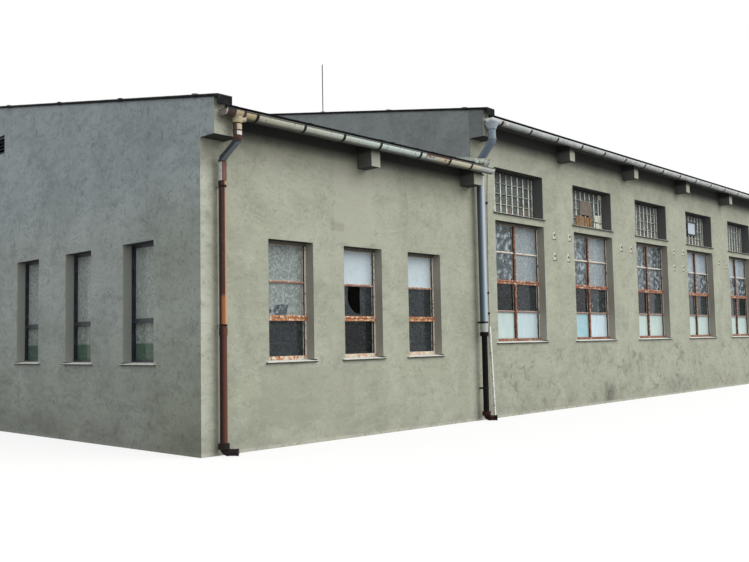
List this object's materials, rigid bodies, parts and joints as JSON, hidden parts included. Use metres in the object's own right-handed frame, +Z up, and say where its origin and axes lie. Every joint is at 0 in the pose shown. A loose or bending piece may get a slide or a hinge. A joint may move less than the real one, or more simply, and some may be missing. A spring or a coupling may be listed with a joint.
{
  "type": "factory building",
  "caption": "Single-storey rendered factory building: a low wing with slit windows and a taller hall with tall rusty steel windows and glass-block lights.",
  "frame": {"origin": "on the ground at the middle of the building's box", "axes": "+X along the front from the low wing to the hall's end, +Y from the front to the back, +Z up"},
  "size_m": [25.08, 15.36, 9.25],
  "materials": {
    "render": "rough cement render",
    "gable_render": "smooth cement render",
    "concrete": "raw concrete",
    "roofing_felt": "mineral felt",
    "flashing": "weathered felt strip",
    "verge_sheet": "dull dark sheet",
    "sill_concrete": "pale cement",
    "rusty_white_steel": "peeling white paint over rust",
    "rusty_red_steel": "red-brown rust",
    "dark_frame": "satin anthracite",
    "window_glass": "dusty clear glass",
    "glass_block": "pressed glass blocks in mortar",
    "vent_steel": "dull dark paint",
    "cream_gutter": "worn cream paint",
    "zinc_gutter": "weathered galvanised sheet",
    "bracket_iron": "dark iron",
    "rusty_pipe": "brown rust",
    "cast_pipe": "black cast iron",
    "guard_steel": "dull white paint"
  },
  "bodies": {
    "root": {"wing_gable_wall": "gable_render", "wing_front_wall": "render", "wing_back_wall": "render", "hall_gable_wall": "gable_render", "hall_front_wall": "render", "hall_back_wall": "render", "hall_end_wall": "gable_render", "wing_roof_slab": "concrete", "hall_roof_slab": "concrete", "wing_roof_beams": "render", "hall_roof_beams": "render", "wing_roof_felt": "roofing_felt", "hall_roof_felt": "roofing_felt", "abutment_flashing": "flashing", "wing_verge_cover": "verge_sheet", "hall_verge_cover": "verge_sheet", "end_verge_cover": "verge_sheet", "wing_window_sills": "sill_concrete", "gable_window_sills": "sill_concrete", "hall_window_sills": "sill_concrete", "upper_light_sills": "sill_concrete", "wing_front_frames": "rusty_white_steel", "wing_back_frames": "rusty_white_steel", "gable_frames": "dark_frame", "hall_front_frames": "rusty_red_steel", "hall_back_frames": "rusty_red_steel", "wing_front_glass": "window_glass", "wing_back_glass": "window_glass", "gable_glass": "window_glass", "hall_front_glass": "window_glass", "hall_back_glass": "window_glass", "front_glass_blocks": "glass_block", "back_glass_blocks": "glass_block", "gable_vent": "vent_steel", "wing_gutters": "cream_gutter", "hall_gutters": "zinc_gutter", "gutter_brackets": "bracket_iron", "corner_downpipes": "rusty_pipe", "hall_downpipes": "zinc_gutter", "hall_pipe_feet": "cast_pipe", "gutter_outlets": "cream_gutter", "pipe_clips": "bracket_iron", "lightning_rod": "bracket_iron", "conductor_guard": "guard_steel"}
  },
  "joints": []
}
